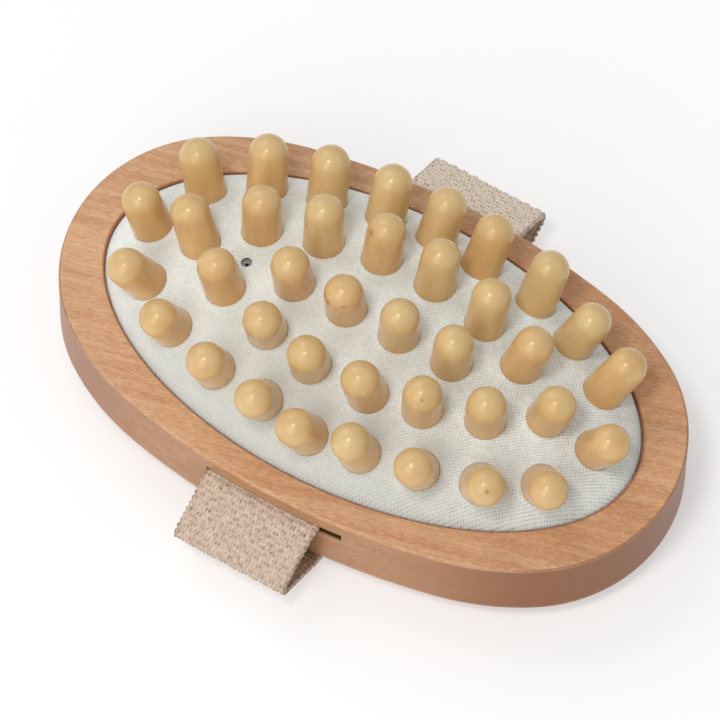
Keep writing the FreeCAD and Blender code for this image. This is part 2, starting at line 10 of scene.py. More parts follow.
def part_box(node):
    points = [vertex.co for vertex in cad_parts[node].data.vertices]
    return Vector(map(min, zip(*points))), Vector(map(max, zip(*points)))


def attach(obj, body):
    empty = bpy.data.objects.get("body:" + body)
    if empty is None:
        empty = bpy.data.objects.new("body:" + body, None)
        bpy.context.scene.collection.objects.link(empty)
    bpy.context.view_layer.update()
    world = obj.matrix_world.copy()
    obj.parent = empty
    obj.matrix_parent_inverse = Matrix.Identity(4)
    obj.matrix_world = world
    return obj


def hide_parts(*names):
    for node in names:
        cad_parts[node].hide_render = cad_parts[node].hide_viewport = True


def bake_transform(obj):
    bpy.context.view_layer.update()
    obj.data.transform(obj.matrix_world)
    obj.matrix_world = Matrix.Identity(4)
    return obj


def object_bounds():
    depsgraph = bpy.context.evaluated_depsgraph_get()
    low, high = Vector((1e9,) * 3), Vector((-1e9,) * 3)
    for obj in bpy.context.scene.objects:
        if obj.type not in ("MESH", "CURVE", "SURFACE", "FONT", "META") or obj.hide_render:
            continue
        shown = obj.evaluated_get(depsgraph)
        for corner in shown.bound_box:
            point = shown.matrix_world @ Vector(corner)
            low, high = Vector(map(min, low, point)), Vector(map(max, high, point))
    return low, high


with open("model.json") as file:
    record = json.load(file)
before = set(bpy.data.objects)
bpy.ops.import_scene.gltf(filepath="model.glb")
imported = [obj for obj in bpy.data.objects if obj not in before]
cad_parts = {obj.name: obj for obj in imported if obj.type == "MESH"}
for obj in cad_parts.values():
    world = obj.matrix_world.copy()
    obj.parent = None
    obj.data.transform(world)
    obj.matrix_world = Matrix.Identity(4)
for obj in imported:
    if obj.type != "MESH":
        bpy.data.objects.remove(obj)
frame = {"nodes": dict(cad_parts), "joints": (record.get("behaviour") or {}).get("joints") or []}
cad_low, cad_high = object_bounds()

# Everything is in metres, in the part's frame: X along the oval, Y across it, Z up.
MM = 0.001

# Wooden back: its recess's oval, the arc of its long sides, and the strap slots through them.
BEECH_GRAIN_TURN = math.radians(-14)
BACK_TOP = 19.0 * MM
BACK_HALF_WIDTH = 37.6 * MM
BACK_SIDE_RADIUS = 150.3 * MM
RECESS_HALF_LENGTH = 57.4 * MM
RECESS_HALF_WIDTH = 32.0 * MM
SLOT_LOW = 13.2 * MM
SLOT_HIGH = 15.4 * MM
SLOT_HALF_LENGTH = 15.0 * MM

# Cushion dome, from its cloth's box: the box is the flange, and the dome stands inside it.
cloth_low, cloth_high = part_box("cushion_cloth")
FLANGE_REACH = 1.8 * MM
FLANGE_LEVEL = cloth_low.z + 0.4 * MM
DOME_BASE = cloth_low.z + 0.65 * MM
DOME_RISE = cloth_high.z - DOME_BASE
DOME_HALF_LENGTH = cloth_high.x - FLANGE_REACH
DOME_HALF_WIDTH = cloth_high.y - FLANGE_REACH

# Cushion cloth: plain weave, cut so that its yarns run slantwise to the oval.
CLOTH_PITCH = 0.565 * MM
CLOTH_TURN = math.radians(41)
CLOTH_SAMPLES = 4
CLOTH_CRIMP = 0.055 * MM
CLOTH_YARN_ROUND = 0.105 * MM
CLOTH_TO_RUBBER = 0.6 * MM
RUBBER_THICKNESS = 0.9 * MM
RUBBER_SPACING = 0.35 * MM
VENT_X = -28.2 * MM
VENT_CLOTH_RADIUS = 1.1 * MM
VENT_RUBBER_RADIUS = 0.5 * MM

# Pegs, with levels measured from the dome up along the peg.
PEG_RADIUS = 4.05 * MM
PEG_TIP_LEVEL = 12.45 * MM
PEG_BALL_LEVEL = 8.6 * MM
# Small brown knots in some pegs: the peg, the way out from its tip's centre, and the radius in mm.
PEG_KNOTS = [("peg_centre_03", (-0.34, -0.86, 0.13), 0.70), ("peg_centre_03", (0.46, -0.83, 0.30), 0.55),
             ("peg_centre_03", (-0.66, -0.66, 0.20), 0.95), ("peg_middle_05", (-0.50, -0.68, 0.50), 0.95),
             ("peg_outer_19", (0.36, -0.55, 0.70), 0.50), ("peg_middle_13", (0.30, -0.60, 0.70), 0.45)]

# Cloth collar round each peg, with a low lip at the peg.
COLLAR_INNER = PEG_RADIUS + 0.03 * MM
COLLAR_OUTER = 5.45 * MM
COLLAR_RINGS = 11
COLLAR_SIDES = 216
COLLAR_LIP = 0.12 * MM
COLLAR_OVERLAP = 0.02 * MM
CLOTH_HOLE = 5.15 * MM
RUBBER_HOLE = 4.9 * MM

# Hand strap: the middle line of its webbing on the +Y side, as (Y, Z) corners in mm, and the radii
# of the bends at the corners after the first, in mm. The -Y side mirrors it.
STRAP_THICKNESS = 2.0 * MM
STRAP_HALF_WIDTH = 12.5 * MM
STRAP_SHIFT = -2.1 * MM
STRAP_SKEW = math.radians(-1.0)
STRAP_CORNERS = [(23.2, 14.2), (39.2, 14.2), (51.2, 8.0), (36.3, 1.0)]
STRAP_RADII = [3.0, 1.8, 5.0]
STRAP_STATION = 0.23 * MM
STRAP_FACE_POINTS = 196
STRAP_BACK_POINTS = 60
WARP_PITCH = 1.19 * MM
WEFT_PITCH = 1.17 * MM
WEBBING_CRIMP = 0.30 * MM
WEBBING_YARN_ROUND = 0.42 * MM
SELVEDGE_LOOP = 0.13 * MM


# ---------------------------------------------------------------- mesh helpers


def mesh_object(name, points, faces):
    mesh = bpy.data.meshes.new(name)
    mesh.from_pydata([tuple(p) for p in points], [], [tuple(f) for f in faces])
    mesh.validate()
    mesh.polygons.foreach_set("use_smooth", [True] * len(mesh.polygons))
    obj = bpy.data.objects.new(name, mesh)
    bpy.context.scene.collection.objects.link(obj)
    return obj


def smoothstep(value):
    value = np.clip(value, 0.0, 1.0)
    return value * value * (3 - 2 * value)


def hashed(cells, seed):
    """A repeatable number from -1 to 1 for each whole number."""
    wave = np.sin(np.asarray(cells, float) * 12.9898 + seed * 78.233) * 43758.5453
    return 2 * (wave - np.floor(wave)) - 1


# ---------------------------------------------------------------- cushion


def dome_height(x, y):
    inside = 1 - (x / DOME_HALF_LENGTH) ** 2 - (y / DOME_HALF_WIDTH) ** 2
    return DOME_BASE + DOME_RISE * np.sqrt(np.clip(inside, 0, None))


def dome_normal(points):
    """Outward unit normals of the dome at points on it."""
    scaled = points - np.array([0, 0, DOME_BASE])
    scaled = scaled / np.array([DOME_HALF_LENGTH, DOME_HALF_WIDTH, DOME_RISE]) ** 2
    return scaled / np.linalg.norm(scaled, axis=-1, keepdims=True)


def plain_weave(across, along, pitch_across, pitch_along, crimp, roundness):
    """Height of a plain weave over its middle plane. Warp yarns run along, weft yarns across."""
    column = across / pitch_across
    row = along / pitch_along
    warp_index = np.round(column)
    weft_index = np.round(row)
    warp_profile = np.sqrt(np.clip(1 - (2 * (column - warp_index)) ** 2, 0, 1))
    weft_profile = np.sqrt(np.clip(1 - (2 * (row - weft_index)) ** 2, 0, 1))
    warp = crimp * np.cos(np.pi * (row + warp_index)) + roundness * (warp_profile - 1)
    weft = -crimp * np.cos(np.pi * (column + weft_index)) + roundness * (weft_profile - 1)
    return np.maximum(warp, weft)


def cloth_relief(points):
    """Height of the weave at points of the cloth. Its yarns waver a little."""
    x, y = points[..., 0], points[..., 1]
    across = x * math.cos(CLOTH_TURN) + y * math.sin(CLOTH_TURN)
    along = y * math.cos(CLOTH_TURN) - x * math.sin(CLOTH_TURN)
    across = across + 0.05 * MM * np.sin(along / (6 * MM)) + 0.04 * MM * np.sin(along / (2.3 * MM))
    return plain_weave(across, along, CLOTH_PITCH, CLOTH_PITCH, CLOTH_CRIMP, CLOTH_YARN_ROUND)


def peg_line(joint):
    """A peg's axis, and its seat on the dome, from its joint and its CAD node."""
    node = frame["nodes"][joint["child"][: -len("_body")]]
    axis = -Vector(joint["axis"]).normalized()
    side = axis.orthogonal().normalized()
    other = axis.cross(side)
    points = [v.co for v in node.data.vertices]
    middle = Vector()
    for direction in (side, other):
        reach = [p.dot(direction) for p in points]
        middle += direction * (min(reach) + max(reach)) / 2
    base = middle + axis * max(p.dot(axis) for p in points)
    seat = drop_on_dome(np.array([base]), np.array(axis))[0]
    return node, np.array(axis), seat


def drop_on_dome(points, axis):
    """Points moved along the axis until they lie on the dome: the outer root of a quadratic."""
    scale = np.array([DOME_HALF_LENGTH, DOME_HALF_WIDTH, DOME_RISE])
    origin = (points - np.array([0, 0, DOME_BASE])) / scale
    step = axis / scale
    a = (step * step).sum()
    b = (origin * step).sum(-1)
    c = (origin * origin).sum(-1) - 1
    travel = (-b + np.sqrt(np.clip(b * b - a * c, 0, None))) / a
    return points + travel[..., None] * axis


def from_axis(points, seat, axis):
    """Distance of points from a peg's axis, and the unit directions away from it."""
    offset = points - seat
    radial = offset - (offset @ axis)[..., None] * axis
    distance = np.linalg.norm(radial, axis=-1)
    return distance, radial / np.maximum(distance, 1e-9)[..., None]


def dome_sheet(name, spacing, holes, relief=None, inset=0.0):
    """A sheet over the dome, on a square grid, with round holes. Grid points that fall just inside
    a hole or outside the oval are moved onto its edge. holes: (seat, axis, radius)."""
    columns = int(DOME_HALF_LENGTH / spacing) + 2
    rows = int(DOME_HALF_WIDTH / spacing) + 2
    x, y = np.meshgrid(np.arange(-columns, columns + 1) * spacing,
                       np.arange(-rows, rows + 1) * spacing)
    reach = np.sqrt((x / DOME_HALF_LENGTH) ** 2 + (y / DOME_HALF_WIDTH) ** 2)
    x = x / np.maximum(reach, 1)
    y = y / np.maximum(reach, 1)
    points = np.stack([x, y, dome_height(x, y)], -1)
    kept = reach <= 1
    for seat, axis, radius in holes:
        # Seen from above, a leaning hole reaches a little past its own radius.
        near = np.hypot(points[..., 0] - seat[0], points[..., 1] - seat[1]) < 1.6 * radius
        distance, away = from_axis(points[near], seat, axis)
        inner = distance < radius
        moved = points[near]
        moved[inner] = drop_on_dome(seat + away[inner] * radius, axis)
        points[near] = moved
        kept[near] = kept[near] & ~inner
    corner = kept[:-1, :-1].astype(int) + kept[1:, :-1] + kept[1:, 1:] + kept[:-1, 1:]
    index = np.arange(points[..., 0].size).reshape(points.shape[:2])
    quads = np.stack([index[:-1, :-1], index[:-1, 1:], index[1:, 1:], index[1:, :-1]], -1)
    quads = quads[corner > 0]
    used, renumbered = np.unique(quads, return_inverse=True)
    flat_points = points.reshape(-1, 3)[used]
    normal = dome_normal(flat_points)
    raised = flat_points - normal * inset
    if relief:
        raised = raised + normal * relief(flat_points)[:, None]
    return mesh_object(name, raised, renumbered.reshape(-1, 4))


def add_flange(obj, level):
    """Carries the sheet's outer edge out into the groove of the wooden back."""
    work = bmesh.new()
    work.from_mesh(obj.data)
    outline = []
    for edge in work.edges:
        if edge.is_boundary:
            reach = [math.hypot(v.co.x / DOME_HALF_LENGTH, v.co.y / DOME_HALF_WIDTH) for v in edge.verts]
            # The edges of the holes lie further in than the sheet's outer edge.
            if min(reach) > 0.96:
                outline.append(edge)
    added = bmesh.ops.extrude_edge_only(work, edges=outline)["geom"]
    for item in added:
        if isinstance(item, bmesh.types.BMVert):
            out = Vector((item.co.x / DOME_HALF_LENGTH, item.co.y / DOME_HALF_WIDTH)).normalized()
            item.co.x = out.x * (DOME_HALF_LENGTH + FLANGE_REACH)
            item.co.y = out.y * (DOME_HALF_WIDTH + FLANGE_REACH)
            item.co.z = level
    bmesh.ops.recalc_face_normals(work, faces=work.faces)
    work.to_mesh(obj.data)
    work.free()


def peg_collar(name, seat, axis):
    """The ring of cloth round one peg: level with the dome outside, with a low lip at the peg."""
    normal = dome_normal(seat[None])[0]
    side = np.array(Vector(axis).orthogonal().normalized())
    other = np.cross(axis, side)
    share = np.linspace(0, 1, COLLAR_RINGS)[:, None]
    turn = np.linspace(0, 2 * np.pi, COLLAR_SIDES, endpoint=False)[None, :]
    radius = COLLAR_OUTER + (COLLAR_INNER - COLLAR_OUTER) * share
    flat = seat + (radius * np.cos(turn))[..., None] * side + (radius * np.sin(turn))[..., None] * other
    on_dome = drop_on_dome(flat, axis)
    lip = ((COLLAR_LIP - (flat - seat) @ normal) / (axis @ normal))[..., None] * axis + flat
    rise = smoothstep(share)[..., None]
    points = on_dome * (1 - rise) + lip * rise
    relief = cloth_relief(on_dome) * (1 - 0.9 * share) + COLLAR_OVERLAP * (1 - share)
    points = points + dome_normal(on_dome) * relief[..., None]
    faces = []
    for ring in range(COLLAR_RINGS - 1):
        first = ring * COLLAR_SIDES
        second = first + COLLAR_SIDES
        for step in range(COLLAR_SIDES):
            after = (step + 1) % COLLAR_SIDES
            faces.append((first + step, first + after, second + after, second + step))
    return mesh_object(name, points.reshape(-1, 3), faces)


# ---------------------------------------------------------------- strap


def strap_route():
    """Middle line of the strap as dense (Y, Z) points: straight runs joined by arcs."""
    side = [np.array(c) * MM for c in STRAP_CORNERS]
    corners = side + [c * np.array([-1, 1]) for c in reversed(side)]
    radii = [r * MM for r in STRAP_RADII]
    radii = radii + radii[::-1]
    line = [corners[0]]
    for before, corner, after, radius in zip(corners, corners[1:], corners[2:], radii):
        inward = (before - corner) / np.linalg.norm(before - corner)
        outward = (after - corner) / np.linalg.norm(after - corner)
        half_angle = math.acos(float(inward @ outward)) / 2
        bisector = (inward + outward) / np.linalg.norm(inward + outward)
        centre = corner + bisector * radius / math.sin(half_angle)
        first = corner + inward * radius / math.tan(half_angle) - centre
        last = corner + outward * radius / math.tan(half_angle) - centre
        sweep = math.pi - 2 * half_angle
        for part in np.linspace(0, 1, 60):
            blend = math.sin((1 - part) * sweep) * first + math.sin(part * sweep) * last
            line.append(centre + blend / math.sin(sweep))
    line.append(corners[-1])
    return np.array(line)


def webbing_relief(across, along):
    """Height of the webbing's face under its nominal surface: paired warp yarns over thick weft."""
    column = across / WARP_PITCH
    warp_index = np.round(column)
    wander = 0.16 * hashed(warp_index, 1) + 0.12 * np.sin(along / (7 * MM) + 2.1 * warp_index)
    row = along / WEFT_PITCH + wander + 0.10 * np.sin(across / (4.3 * MM))
    weft_index = np.round(row)
    within = 2 * (column - warp_index)
    pair = np.abs(2 * np.abs(within) - 1)
    warp_profile = np.sqrt(np.clip(1 - 0.94 * pair ** 2, 0, 1))
    weft_profile = np.sqrt(np.clip(1 - (2 * (row - weft_index)) ** 2, 0, 1))
    size = 1 + 0.30 * hashed(warp_index * 31 + weft_index, 2)
    warp = size * WEBBING_CRIMP * np.cos(np.pi * (row + warp_index))
    warp = warp + WEBBING_YARN_ROUND * (warp_profile - 1)
    weft = -WEBBING_CRIMP * np.cos(np.pi * (column + weft_index))
    weft = weft + WEBBING_YARN_ROUND * (weft_profile - 1)
    return np.maximum(warp, weft * 0.7 - 0.05 * MM) - 1.15 * WEBBING_CRIMP


def make_strap():
    """The webbing as one closed band along its route, and the route's length."""
    line = strap_route()
    steps = np.linalg.norm(np.diff(line, axis=0), axis=1)
    length = np.concatenate([[0], np.cumsum(steps)])
    total = length[-1]
    stations = int(total / STRAP_STATION)
    along = np.linspace(0, total, stations)
    middle = np.stack([np.interp(along, length, line[:, k]) for k in (0, 1)], -1)
    heading = np.gradient(middle, along, axis=0)
    heading /= np.linalg.norm(heading, axis=1, keepdims=True)
    outward = np.stack([-heading[:, 1], heading[:, 0]], -1)

    half = STRAP_THICKNESS / 2
    flat_half = STRAP_HALF_WIDTH - 0.6 * half
    face = np.linspace(-flat_half, flat_half, STRAP_FACE_POINTS)
    edge_turn = np.radians([54, 18, -18, -54])
    back_face = np.linspace(flat_half, -flat_half, STRAP_BACK_POINTS)
    ring_x = np.concatenate([face, flat_half + 0.6 * half * np.cos(edge_turn),
                             back_face, -flat_half - 0.6 * half * np.cos(edge_turn[::-1])])
    ring_h = np.concatenate([np.full(len(face), half), half * np.sin(edge_turn),
                             np.full(len(back_face), -half), half * np.sin(edge_turn[::-1])])
    x, s = np.meshgrid(ring_x, along)
    h = np.broadcast_to(ring_h, x.shape).copy()
    relief = webbing_relief(x, s)
    is_edge = np.abs(ring_x) > flat_half + 1e-9
    face_sign = np.sign(ring_h)
    h += np.where(is_edge, 0, relief * face_sign)
    # The weft turns back at each edge, which leaves a row of small loops.
    loops = SELVEDGE_LOOP * np.cos(2 * np.pi * s / WEFT_PITCH + 1.5 * np.sin(s / (9 * MM)))
    x = x + np.where(is_edge, np.sign(x) * loops, 0)
    slack = 0.10 * MM * np.sin(s / (6.1 * MM) + x / (5 * MM))
    y = middle[:, None, 0] + outward[:, None, 0] * h
    z = middle[:, None, 1] + outward[:, None, 1] * h
    points = np.stack([x + slack, y, z], -1)

    ring = len(ring_x)
    faces = []
    for station in range(stations - 1):
        for step in range(ring):
            after = (step + 1) % ring
            faces.append((station * ring + step, (station + 1) * ring + step,
                          (station + 1) * ring + after, station * ring + after))
    faces.append(tuple(range(ring)))
    faces.append(tuple((stations - 1) * ring + step for step in reversed(range(ring))))
    strap = mesh_object("webbing_strap", points.reshape(-1, 3), faces)
    strap.data.transform(Matrix.Translation((STRAP_SHIFT, 0, 0)) @ Matrix.Rotation(STRAP_SKEW, 4, "Z"))
    return strap, total


# ---------------------------------------------------------------- materials


class Surface:
    """A node material. Its place is in metres, in the object's own frame."""

    def __init__(self, name):
        self.block = bpy.data.materials.new(name)
        self.block.use_nodes = True
        self.tree = self.block.node_tree
        self.shader = self.tree.nodes["Principled BSDF"]
        self.place = self.add("TexCoord").outputs["Object"]

    def add(self, kind, inputs=None, **settings):
        node = self.tree.nodes.new("ShaderNode" + kind)
        for name, value in settings.items():
            setattr(node, name, value)
        for name, value in (inputs or {}).items():
            self.feed(node.inputs[name], value)
        return node

    def feed(self, socket, value):
        if isinstance(value, bpy.types.NodeSocket):
            self.tree.links.new(value, socket)
        else:
            socket.default_value = value

    def finish(self, **values):
        for name, value in values.items():
            self.feed(self.shader.inputs[name.replace("_", " ")], value)
        return self.block

    def stretched(self, scale, offset=(0, 0, 0), place=None):
        """Place scaled per axis, in features per millimetre."""
        per_metre = tuple(s / MM for s in scale)
        return self.add("Mapping", {"Vector": place or self.place, "Location": offset,
                                    "Scale": per_metre}).outputs["Vector"]

    def turned(self, angle):
        """Place turned about Z."""
        return self.add("Mapping", {"Vector": self.place, "Rotation": (0, 0, angle)}).outputs["Vector"]

    def axes(self, vector=None):
        """The three coordinates of a vector, or of the place."""
        split = self.add("SeparateXYZ", {"Vector": vector or self.place})
        return [split.outputs[name] for name in "XYZ"]

    def noise(self, vector, detail=2.0, roughness=0.5, distortion=0.0):
        return self.add("TexNoise", {"Vector": vector, "Scale": 1.0, "Detail": detail,
                                     "Roughness": roughness, "Distortion": distortion}).outputs["Fac"]

    def range(self, value, low, high, to_low=0.0, to_high=1.0):
        return self.add("MapRange", {"Value": value, "From Min": low, "From Max": high,
                                     "To Min": to_low, "To Max": to_high},
                        interpolation_type="SMOOTHSTEP").outputs["Result"]

    def math(self, operation, *values):
        node = self.add("Math", operation=operation)
        for socket, value in zip(node.inputs, values):
            self.feed(socket, value)
        return node.outputs[0]

    def mix(self, factor, first, second):
        node = self.add("Mix", data_type="RGBA")
        self.feed(node.inputs[0], factor)
        self.feed(node.inputs[6], first)
        self.feed(node.inputs[7], second)
        return node.outputs[2]

    def bump(self, height, distance, strength=1.0, normal=None):
        node = self.add("Bump", {"Height": height, "Distance": distance, "Strength": strength})
        if normal is not None:
            self.feed(node.inputs["Normal"], normal)
        return node.outputs["Normal"]


def colour(red, green, blue):
    """Linear colour of an 8-bit sRGB colour."""
    def linear(value):
        value /= 255
        return value / 12.92 if value <= 0.04045 else ((value + 0.055) / 1.055) ** 2.4
    return (linear(red), linear(green), linear(blue), 1.0)


def beech_grain(s, x, y):
    """Beech with its grain turned a little from the length, paler at -X and redder at +X: partly the
    wood's own tone, partly painted light falling off from -X to +X. Returns its colour, its fibre and its
    flecks."""
    turned = s.turned(BEECH_GRAIN_TURN)

    def grain(scale, offset, **kind):
        return s.noise(s.stretched(scale, offset, turned), **kind)

    # Partly painted light: paler towards -X, darker and redder towards +X, partly the wood's own tone.
    along = s.range(x, -0.060, 0.055)
    # Painted shade: the far (+Y) side of the top darker.
    far_shade = s.range(y, 0.016, 0.034, 0.0, 0.42)
    ground = s.mix(along, colour(212, 164, 122), colour(206, 150, 106))
    ground = s.mix(far_shade, ground, colour(176, 120, 88))
    drift = grain((0.012, 0.07, 0.07), (0, 0, 0), detail=2)
    ground = s.mix(s.range(drift, 0.35, 0.65, 0.0, 0.45), ground, colour(190, 141, 103))
    bands = grain((0.02, 0.55, 0.55), (3, 1, 7), detail=3, distortion=0.5)
    ground = s.mix(s.range(bands, 0.50, 0.62, 0.0, 0.50), ground, colour(186, 130, 90))
    ground = s.mix(s.range(bands, 0.36, 0.46, 0.40, 0.0), ground, colour(226, 184, 142))
    fibre = grain((0.5, 7.0, 7.0), (0, 2, 0), detail=3, roughness=0.65)
    ground = s.mix(s.range(fibre, 0.38, 0.68, 0.0, 0.30), ground, colour(228, 190, 156))
    flecks = grain((0.75, 3.6, 3.6), (11, 5, 2), detail=2, roughness=0.6)
    pale = s.range(flecks, 0.34, 0.46, 0.34, 0.0)
    dark = s.range(flecks, 0.54, 0.68, 0.0, 0.34)
    tone = s.mix(pale, ground, colour(232, 198, 168))
    return s.mix(dark, tone, colour(158, 104, 72)), fibre, flecks


def beech_edges(s, tone, x, y, z):
    """Darkens the top's corner line at the ends, paints shade into the mouth of the recess, and darkens
    the side walls, partly the end grain's own tone and partly painted shade, most at the +X end.
    """
    corner = s.math("MULTIPLY", s.range(z, BACK_TOP - 0.9 * MM, BACK_TOP - 0.5 * MM),
                    s.range(z, BACK_TOP - 0.12 * MM, BACK_TOP - 0.02 * MM, 1.0, 0.0))
    ends = s.range(s.math("ABSOLUTE", x), 0.040, 0.056)
    reach = s.math("SQRT", s.math("ADD", s.math("POWER", s.math("DIVIDE", x, RECESS_HALF_LENGTH), 2.0),
                                  s.math("POWER", s.math("DIVIDE", y, RECESS_HALF_WIDTH), 2.0)))
    outside = s.range(reach, 1.02, 1.04)
    corner = s.math("MULTIPLY", s.math("MULTIPLY", corner, ends), s.math("MULTIPLY", outside, 0.5))
    tone = s.mix(corner, tone, colour(120, 76, 50))
    # Painted shade at the mouth of the recess, where the cloth's edge meets the wood.
    mouth_shade = s.range(reach, 1.002, 1.013, 0.8, 0.0)
    tone = s.mix(mouth_shade, tone, colour(160, 92, 50))
    # The side walls darker: partly the end grain's own tone, partly painted shade, strongest at the +X
    # end.
    wall = s.range(z, BACK_TOP - 0.9 * MM, BACK_TOP - 0.5 * MM, 1.0, 0.0)
    left = s.range(x, -0.056, -0.015, 0.80, 0.42)
    right = s.range(x, 0.020, 0.056, 0.0, 0.62)
    end_grain_and_wall_shade = s.math("MULTIPLY", s.math("MULTIPLY", wall, outside), s.math("ADD", left, right))
    return s.mix(end_grain_and_wall_shade, tone, colour(146, 92, 54))


def paint_slot_shade(s, tone, x, y, z):
    """Paints shade into the strap slots behind the curved face of the long sides."""
    slot = s.math("MULTIPLY", s.range(z, SLOT_HIGH - 0.2 * MM, SLOT_HIGH + 0.1 * MM, 1.0, 0.0),
                  s.range(z, SLOT_LOW - 0.3 * MM, SLOT_LOW - 0.1 * MM))
    in_slot = s.math("MULTIPLY", slot, s.range(s.math("ABSOLUTE", x), SLOT_HALF_LENGTH + 0.5 * MM,
                                               SLOT_HALF_LENGTH + 1.2 * MM, 0.85, 0.0))
    bulge = s.math("DIVIDE", s.math("MULTIPLY", x, x), 2 * BACK_SIDE_RADIUS)
    behind = s.range(s.math("ADD", s.math("ABSOLUTE", y), bulge), BACK_HALF_WIDTH - 0.5 * MM,
                     BACK_HALF_WIDTH - 0.15 * MM, 1.0, 0.0)
    return s.mix(s.math("MULTIPLY", in_slot, behind), tone, colour(46, 26, 16))


def beech_back_material():
    """Oiled beech with fine light and dark flecks."""
    s = Surface("beech_back")
    x, y, z = s.axes()
    tone, fibre, flecks = beech_grain(s, x, y)
    tone = beech_edges(s, tone, x, y, z)
    tone = paint_slot_shade(s, tone, x, y, z)
    rough = s.range(fibre, 0.3, 0.7, 0.32, 0.42)
    bumps = s.bump(flecks, -0.02 * MM, 0.5, s.bump(fibre, 0.012 * MM, 0.4))
    return s.finish(Base_Color=tone, Roughness=rough, Normal=bumps, Specular_IOR_Level=0.3)


def peg_wood_material(name, seat, axis, number, marks):
    """Lacquered light wood, its grain along the peg, a little paler at the round tip, partly its own
    tone and partly painted light, with painted shade at the foot. marks: the centres of small brown
    knots, as (offset from the seat, radius)."""
    s = Surface(name)
    turn = Vector((0, 0, 1)).rotation_difference(Vector(axis)).to_euler()
    local = s.add("Mapping", {"Vector": s.place, "Location": tuple(seat), "Rotation": tuple(turn),
                              "Scale": (MM, MM, MM)}, vector_type="TEXTURE").outputs["Vector"]
    chance = [float(hashed(number, seed)) for seed in range(3, 8)]
    shifted = s.add("VectorMath", {0: local, 1: tuple(40 * c for c in chance[:3])},
                    operation="ADD").outputs["Vector"]
    height = s.axes(local)[2]

    def grain(scale, **kind):
        stretch = s.add("Mapping", {"Vector": shifted, "Scale": scale}).outputs["Vector"]
        return s.noise(stretch, **kind)

    warm = 0.5 + 0.5 * chance[3]
    pale = 0.5 + 0.5 * chance[4]
    first = np.array(colour(220, 190, 136)) * (1 - warm) + np.array(colour(222, 182, 126)) * warm
    second = np.array(colour(213, 179, 122)) * (1 - warm) + np.array(colour(212, 167, 108)) * warm
    cloud = grain((0.25, 0.25, 0.08), detail=2)
    body = s.mix(s.range(cloud, 0.35, 0.65), tuple(first), tuple(second))
    lines = grain((1.1, 1.1, 0.16), detail=2, roughness=0.5, distortion=0.3)
    body = s.mix(s.range(lines, 0.45, 0.75, 0.0, 0.05), body, colour(194, 142, 86))
    # Partly painted light: the tip paler, partly the wood's own paler tone.
    rising = s.math("ADD", height, s.math("MULTIPLY", lines, 0.3))
    tip_tone_and_light = s.range(rising, PEG_TIP_LEVEL / MM - 6.5, PEG_TIP_LEVEL / MM, 0.0, 0.2 + 0.3 * pale)
    body = s.mix(tip_tone_and_light, body, colour(218, 190, 140))
    flecks = grain((1.3, 1.3, 0.5), detail=2)
    body = s.mix(s.range(flecks, 0.62, 0.76, 0.0, 0.07), body, colour(164, 110, 62))
    # Painted shade where the peg meets the cloth.
    foot_shade = s.range(height, 0.2, 2.4, 0.22, 0.0)
    body = s.mix(foot_shade, body, colour(186, 138, 84))
    for offset, radius in marks:
        away = s.add("VectorMath", {0: s.place, 1: tuple(seat + offset)},
                     operation="DISTANCE").outputs["Value"]
        ragged = s.math("ADD", away, s.math("MULTIPLY", lines, 0.5 * radius))
        body = s.mix(s.range(ragged, 0.5 * radius, 1.6 * radius, 0.55, 0.0), body, colour(146, 88, 42))
    rough = s.range(cloud, 0.3, 0.7, 0.22, 0.30)
    bumps = s.bump(cloud, 0.05 * MM, 0.2)
    return s.finish(Base_Color=body, Roughness=rough, Normal=bumps, Specular_IOR_Level=0.55,
                    Specular_Tint=colour(255, 240, 212))


def lattice(s, pitch):
    """0 on the yarns of a square weave, 0.3 between two yarns and 1 in the gap where four meet."""
    waves = []
    for travel in s.axes(s.turned(-CLOTH_TURN))[:2]:
        wave = s.math("COSINE", s.math("MULTIPLY", travel, 2 * math.pi / pitch))
        waves.append(s.range(wave, -1.0, -0.4, 1.0, 0.0))
    crossing = s.math("MULTIPLY", *waves)
    either = s.math("MAXIMUM", *waves)
    return s.math("ADD", s.math("MULTIPLY", either, 0.3), s.math("MULTIPLY", crossing, 0.7))


def cushion_cloth_material():
    """Off-white cotton plain weave over grey rubber, with uneven yarns."""
    s = Surface("cushion_cloth")
    yarn = s.noise(s.stretched((1.1, 1.1, 1.1)), detail=3, roughness=0.7)
    tone = s.mix(s.range(yarn, 0.35, 0.65), colour(247, 252, 248), colour(238, 243, 239))
    patches = s.noise(s.stretched((0.09, 0.09, 0.09)), detail=2)
    tone = s.mix(s.range(patches, 0.4, 0.7, 0.0, 0.35), tone, colour(234, 237, 232))
    x, y, _ = s.axes()
    # Painted shade: the cloth darker towards the near (-Y) side of the dome.
    tone = s.mix(s.range(y, -0.032, -0.004, 0.78, 0.0), tone, colour(206, 207, 199))
    # The weave's gaps darker, partly the grey rubber beneath and partly painted shade, more towards +X.
    uneven = s.noise(s.stretched((0.45, 0.45, 0.45)), detail=3, roughness=0.7)
    gap_rubber_and_shade = s.math("MULTIPLY", s.range(uneven, 0.38, 0.62, 0.40, 1.0),
                       s.range(x, -0.015, 0.045, 0.45, 0.95))
    tone = s.mix(s.math("MULTIPLY", lattice(s, CLOTH_PITCH), gap_rubber_and_shade), tone, colour(126, 127, 119))
    fuzz = s.noise(s.stretched((4, 4, 4)), detail=3, roughness=0.7)
    tone = s.mix(s.range(fuzz, 0.50, 0.66, 0.0, 0.30), tone, colour(168, 168, 160))
    return s.finish(Base_Color=tone, Roughness=s.range(fuzz, 0.3, 0.7, 0.78, 0.92),
                    Normal=s.bump(fuzz, 0.05 * MM, 0.6), Specular_IOR_Level=0.2, Sheen_Weight=0.15,
                    Sheen_Roughness=0.5)


